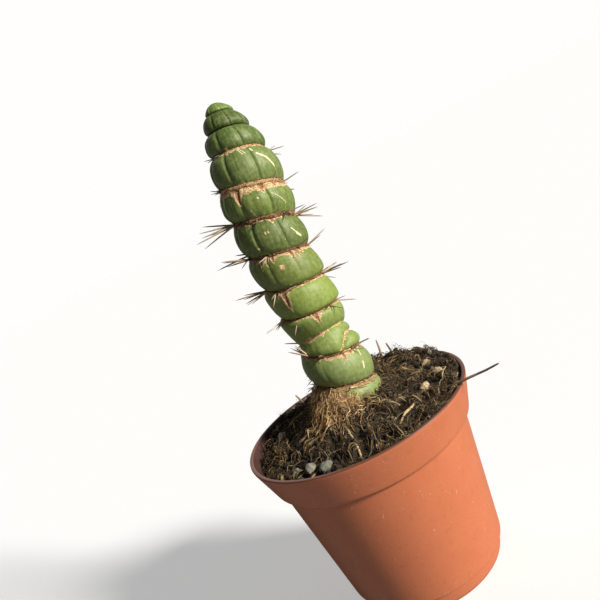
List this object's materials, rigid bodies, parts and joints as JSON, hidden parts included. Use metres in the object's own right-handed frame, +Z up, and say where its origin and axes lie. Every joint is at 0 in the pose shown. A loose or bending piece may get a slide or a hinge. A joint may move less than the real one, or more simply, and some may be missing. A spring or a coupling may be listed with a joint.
{
  "type": "potted eulychnia cactus",
  "caption": "Columnar cactus with a spiral rib, corky spined grooves and a slight lean, in a stepped plastic nursery pot filled with fibrous peat.",
  "frame": {"origin": "middle of the pot's flat underside", "axes": "+Z up along the pot's axis, -Y towards the side that the picture shows, +X to its right"},
  "size_m": [0.1063, 0.1, 0.2206],
  "materials": {
    "terracotta_plastic": "satin",
    "peat_soil": "rough, damp",
    "cactus_skin": "waxy satin",
    "cork_and_spines": "dry, rough",
    "grit": "dull",
    "dry_straw": "dry, dull",
    "twig_bark": "dry, dull"
  },
  "bodies": {
    "root": {"areoles_and_spines": "cork_and_spines", "cactus_stem": "cactus_skin", "pebble_1": "grit", "pebble_2": "grit", "pebble_3": "grit", "pebble_4": "grit", "pebble_5": "grit", "pebble_6": "grit", "pebble_7": "grit", "pebble_8": "grit", "pot": "terracotta_plastic", "soil": "peat_soil", "straw_1": "dry_straw", "straw_2": "dry_straw", "straw_3": "dry_straw", "straw_4": "dry_straw", "straw_5": "dry_straw", "straw_6": "dry_straw", "straw_7": "dry_straw", "twig_1": "twig_bark", "twig_2": "twig_bark", "twig_3": "twig_bark", "twig_over_rim": "twig_bark"}
  },
  "joints": []
}
